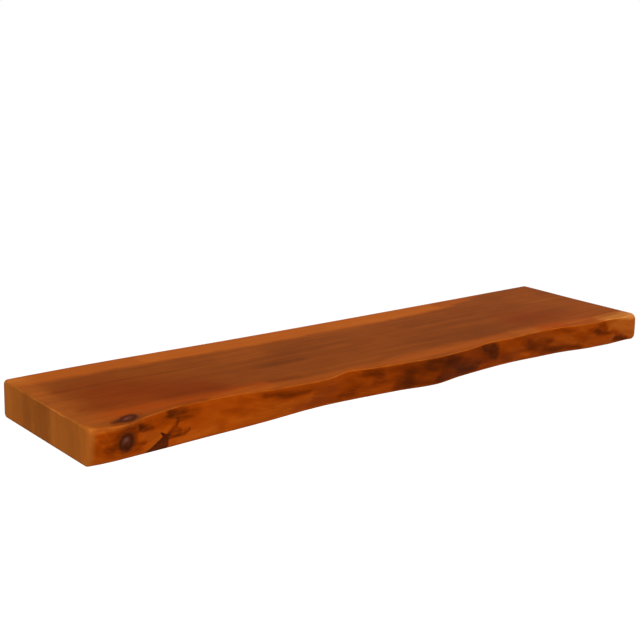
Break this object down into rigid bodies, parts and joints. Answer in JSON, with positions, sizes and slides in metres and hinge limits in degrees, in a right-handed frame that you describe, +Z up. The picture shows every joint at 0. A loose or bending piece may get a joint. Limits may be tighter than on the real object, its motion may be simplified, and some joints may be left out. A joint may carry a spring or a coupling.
{
  "type": "floating wall shelf",
  "caption": "Floating wall shelf: a solid live edge wooden board pushed onto concealed steel rods whose plates screw to the wall.",
  "frame": {"origin": "centre of the board's back face, on the wall plane", "axes": "+X along the board to its right as seen from the room, +Y into the wall, +Z up; the live edge faces -Y"},
  "size_m": [0.8, 0.2342, 0.038],
  "materials": {
    "oiled_wood": "satin oil on planed wood, darker knots and streaks",
    "galvanised_steel": "galvanised steel, satin",
    "zinc_plate": "bright zinc plated steel",
    "grey_nylon": "moulded grey nylon",
    "brass": "turned brass"
  },
  "bodies": {
    "wall_supports": {"wall_plate_left": "galvanised_steel", "support_rod_left": "galvanised_steel", "washer_left": "zinc_plate", "lock_nut_left": "zinc_plate", "wall_screw_left_a": "zinc_plate", "wall_plug_left_a": "grey_nylon", "wall_screw_left_b": "zinc_plate", "wall_plug_left_b": "grey_nylon", "wall_plate_right": "galvanised_steel", "support_rod_right": "galvanised_steel", "washer_right": "zinc_plate", "lock_nut_right": "zinc_plate", "wall_screw_right_a": "zinc_plate", "wall_plug_right_a": "grey_nylon", "wall_screw_right_b": "zinc_plate", "wall_plug_right_b": "grey_nylon"},
    "shelf": {"shelf_board": "oiled_wood", "thread_insert_left": "brass", "locking_screw_left": "zinc_plate", "thread_insert_right": "brass", "locking_screw_right": "zinc_plate"}
  },
  "joints": [
    {"name": "shelf_pull_off", "type": "slide", "parent": "wall_supports", "child": "shelf", "axis": [0, -1, 0], "range_m": [0, 0.14]}
  ]
}
